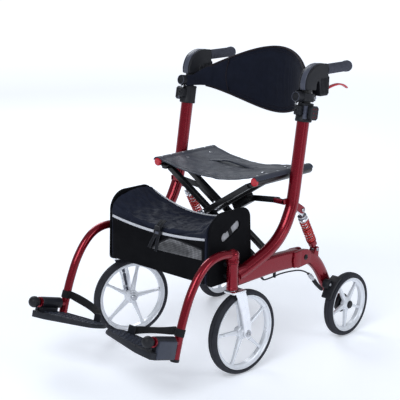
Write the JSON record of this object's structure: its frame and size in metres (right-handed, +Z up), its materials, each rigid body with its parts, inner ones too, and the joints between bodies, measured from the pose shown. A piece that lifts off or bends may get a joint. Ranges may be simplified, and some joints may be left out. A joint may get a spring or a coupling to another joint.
{
  "type": "rollator walker",
  "caption": "Folding rollator walker with seat, padded back strap, under-seat bag, telescoping handles, swing-away footrests, swivelling front wheels and sprung rear wheels.",
  "frame": {"origin": "on the floor, under the middle of the walker's overall box", "axes": "+X to the user's left, -Y forward (the way the walker is pushed), +Z up"},
  "size_m": [0.577, 0.9783, 0.903],
  "materials": {
    "red_frame": "gloss",
    "black_metal": "satin",
    "polished_alloy": "polished",
    "tyre_rubber": "matte",
    "rim_plastic": "satin",
    "black_plastic": "satin",
    "grip_rubber": "matte",
    "red_plastic": "gloss",
    "spring_red": "gloss",
    "seat_nylon": "matte",
    "back_fabric": "matte",
    "bag_nylon": "matte",
    "webbing": "matte"
  },
  "bodies": {
    "left_frame": {"left_frame": "red_frame", "left_bag_panel": "black_plastic", "left_collar": "black_plastic", "left_brake_cable": "black_plastic", "bag": "bag_nylon"},
    "brace_a": {"brace_arm_a": "black_metal", "brace_pivot_bolt": "polished_alloy", "right_seat_rail": "black_metal", "right_seat_rail_cap": "red_plastic"},
    "brace_b": {"brace_arm_b": "black_metal", "left_seat_rail": "black_metal", "left_seat_rail_cap": "red_plastic", "seat_fabric": "seat_nylon"},
    "right_frame": {"right_frame": "red_frame", "right_bag_panel": "black_plastic", "right_collar": "black_plastic", "right_brake_cable": "black_plastic"},
    "left_link": {"left_stabiliser_link": "black_metal"},
    "left_handle": {"left_handle_arm": "black_plastic", "left_grip": "grip_rubber", "left_band_clamp": "black_plastic", "backrest": "back_fabric"},
    "left_brake_lever": {"left_brake_lever": "red_plastic"},
    "left_collar_knob": {"left_collar_knob": "black_plastic"},
    "left_caster": {"left_caster_fork": "polished_alloy", "left_front_axle": "polished_alloy"},
    "left_front_wheel": {"left_front_tyre": "tyre_rubber", "left_front_rim": "rim_plastic"},
    "left_rear_arm": {"left_rear_arm": "red_frame", "left_brake_housing": "black_plastic"},
    "left_rear_wheel": {"left_rear_tyre": "tyre_rubber", "left_rear_rim": "rim_plastic"},
    "left_shock_body": {"left_shock_body": "polished_alloy", "left_shock_spring": "spring_red"},
    "left_shock_rod": {"left_shock_rod": "red_frame"},
    "left_hanger": {"left_hanger": "red_frame", "left_footplate_knob": "black_plastic", "left_heel_strap": "webbing"},
    "left_footplate": {"left_footplate": "black_plastic"},
    "right_link": {"right_stabiliser_link": "black_metal"},
    "right_handle": {"right_handle_arm": "black_plastic", "right_grip": "grip_rubber", "right_band_clamp": "black_plastic"},
    "right_brake_lever": {"right_brake_lever": "red_plastic"},
    "right_collar_knob": {"right_collar_knob": "black_plastic"},
    "right_caster": {"right_caster_fork": "polished_alloy", "right_front_axle": "polished_alloy"},
    "right_front_wheel": {"right_front_tyre": "tyre_rubber", "right_front_rim": "rim_plastic"},
    "right_rear_arm": {"right_rear_arm": "red_frame", "right_brake_housing": "black_plastic"},
    "right_rear_wheel": {"right_rear_tyre": "tyre_rubber", "right_rear_rim": "rim_plastic"},
    "right_shock_body": {"right_shock_body": "polished_alloy", "right_shock_spring": "spring_red"},
    "right_shock_rod": {"right_shock_rod": "red_frame"},
    "right_hanger": {"right_hanger": "red_frame", "right_footplate_knob": "black_plastic", "right_heel_strap": "webbing"},
    "right_footplate": {"right_footplate": "black_plastic"}
  },
  "joints": [
    {"name": "fold", "type": "hinge", "parent": "left_frame", "child": "brace_a", "pos_m": [0.2, 0.0675, 0.3], "axis": [0, 1, 0], "range_deg": [0, 40], "deforming": ["seat_fabric", "bag", "backrest"]},
    {"name": "brace_cross", "type": "hinge", "parent": "brace_a", "child": "brace_b", "pos_m": [0, 0.056, 0.427], "axis": [0, 1, 0], "range_deg": [-80, 0]},
    {"name": "right_frame_pivot", "type": "hinge", "parent": "brace_b", "child": "right_frame", "pos_m": [-0.2, 0.0445, 0.3], "axis": [0, 1, 0], "range_deg": [0, 40]},
    {"name": "left_stabiliser", "type": "hinge", "parent": "left_frame", "child": "left_link", "pos_m": [0.2, 0.116, 0.48], "axis": [0, 1, 0], "range_deg": [0, 76]},
    {"name": "left_handle_height", "type": "slide", "parent": "left_frame", "child": "left_handle", "axis": [0, 0.1593, 0.9872], "range_m": [0, 0.09]},
    {"name": "left_brake", "type": "hinge", "parent": "left_handle", "child": "left_brake_lever", "pos_m": [0.235, 0.28, 0.805], "axis": [1, 0, 0], "range_deg": [-12, 15], "stiffness_Nm_per_rad": 2},
    {"name": "left_collar_clamp", "type": "hinge", "parent": "left_frame", "child": "left_collar_knob", "pos_m": [0.268, 0.18378, 0.74262], "axis": [1, 0, 0], "continuous": true},
    {"name": "left_caster_swivel", "type": "hinge", "parent": "left_frame", "child": "left_caster", "pos_m": [0.235, -0.129, 0.28], "axis": [0, 0, 1], "continuous": true},
    {"name": "left_front_wheel_spin", "type": "hinge", "parent": "left_caster", "child": "left_front_wheel", "pos_m": [0.23802, -0.08581, 0.127], "axis": [0.9976, -0.0698, 0], "continuous": true},
    {"name": "left_suspension", "type": "hinge", "parent": "left_frame", "child": "left_rear_arm", "pos_m": [0.235, 0.19, 0.297], "axis": [1, 0, 0], "range_deg": [0, 6], "stiffness_Nm_per_rad": 300, "springref_deg": -4.58, "deforming": ["left_brake_cable"]},
    {"name": "left_rear_wheel_spin", "type": "hinge", "parent": "left_rear_arm", "child": "left_rear_wheel", "pos_m": [0.2705, 0.388, 0.1025], "axis": [1, 0, 0], "continuous": true},
    {"name": "left_shock_swing", "type": "hinge", "parent": "left_frame", "child": "left_shock_body", "pos_m": [0.235, 0.176, 0.446], "axis": [1, 0, 0], "range_deg": [0, 0.907]},
    {"name": "left_shock_stroke", "type": "slide", "parent": "left_shock_body", "child": "left_shock_rod", "axis": [0, -0.5054, 0.8629], "range_m": [0, 0.00684], "deforming": ["left_shock_spring"]},
    {"name": "left_hanger_swing", "type": "hinge", "parent": "left_frame", "child": "left_hanger", "pos_m": [0.235, -0.129, 0.36], "axis": [0, 0, 1], "range_deg": [0, 90]},
    {"name": "left_footplate_flip", "type": "hinge", "parent": "left_hanger", "child": "left_footplate", "pos_m": [0.235, -0.358, 0.168], "axis": [0, 0.9638, -0.2667], "range_deg": [0, 100], "deforming": ["left_heel_strap"]},
    {"name": "right_stabiliser", "type": "hinge", "parent": "right_frame", "child": "right_link", "pos_m": [-0.2, 0.116, 0.48], "axis": [0, 1, 0], "range_deg": [-76, 0]},
    {"name": "right_handle_height", "type": "slide", "parent": "right_frame", "child": "right_handle", "axis": [0, 0.1593, 0.9872], "range_m": [0, 0.09]},
    {"name": "right_brake", "type": "hinge", "parent": "right_handle", "child": "right_brake_lever", "pos_m": [-0.235, 0.28, 0.805], "axis": [1, 0, 0], "range_deg": [-12, 15], "stiffness_Nm_per_rad": 2},
    {"name": "right_collar_clamp", "type": "hinge", "parent": "right_frame", "child": "right_collar_knob", "pos_m": [-0.268, 0.18378, 0.74262], "axis": [1, 0, 0], "continuous": true},
    {"name": "right_caster_swivel", "type": "hinge", "parent": "right_frame", "child": "right_caster", "pos_m": [-0.235, -0.129, 0.28], "axis": [0, 0, 1], "continuous": true},
    {"name": "right_front_wheel_spin", "type": "hinge", "parent": "right_caster", "child": "right_front_wheel", "pos_m": [-0.22097, -0.08804, 0.127], "axis": [0.9461, -0.3239, 0], "continuous": true},
    {"name": "right_suspension", "type": "hinge", "parent": "right_frame", "child": "right_rear_arm", "pos_m": [-0.235, 0.19, 0.297], "axis": [1, 0, 0], "range_deg": [0, 6], "stiffness_Nm_per_rad": 300, "springref_deg": -4.58, "deforming": ["right_brake_cable"]},
    {"name": "right_rear_wheel_spin", "type": "hinge", "parent": "right_rear_arm", "child": "right_rear_wheel", "pos_m": [-0.2705, 0.388, 0.1025], "axis": [1, 0, 0], "continuous": true},
    {"name": "right_shock_swing", "type": "hinge", "parent": "right_frame", "child": "right_shock_body", "pos_m": [-0.235, 0.176, 0.446], "axis": [1, 0, 0], "range_deg": [0, 0.907]},
    {"name": "right_shock_stroke", "type": "slide", "parent": "right_shock_body", "child": "right_shock_rod", "axis": [0, -0.5054, 0.8629], "range_m": [0, 0.00684], "deforming": ["right_shock_spring"]},
    {"name": "right_hanger_swing", "type": "hinge", "parent": "right_frame", "child": "right_hanger", "pos_m": [-0.235, -0.129, 0.36], "axis": [0, 0, 1], "range_deg": [-90, 0]},
    {"name": "right_footplate_flip", "type": "hinge", "parent": "right_hanger", "child": "right_footplate", "pos_m": [-0.235, -0.358, 0.168], "axis": [0, -0.9638, 0.2667], "range_deg": [0, 100], "deforming": ["right_heel_strap"]}
  ],
  "couplings": [
    {"joint": "brace_cross", "follows": "fold", "ratio": -2},
    {"joint": "right_frame_pivot", "follows": "fold", "ratio": 1},
    {"joint": "left_stabiliser", "follows": "fold", "ratio": 1.9},
    {"joint": "left_shock_swing", "follows": "left_suspension", "ratio": 0.14948},
    {"joint": "left_shock_stroke", "follows": "left_suspension", "m_per_rad": 0.064319},
    {"joint": "left_footplate_flip", "follows": "fold", "ratio": 2.5},
    {"joint": "right_stabiliser", "follows": "fold", "ratio": -1.9},
    {"joint": "right_handle_height", "follows": "left_handle_height", "ratio": 1},
    {"joint": "right_shock_swing", "follows": "right_suspension", "ratio": 0.14948},
    {"joint": "right_shock_stroke", "follows": "right_suspension", "m_per_rad": 0.064319},
    {"joint": "right_footplate_flip", "follows": "fold", "ratio": 2.5}
  ]
}
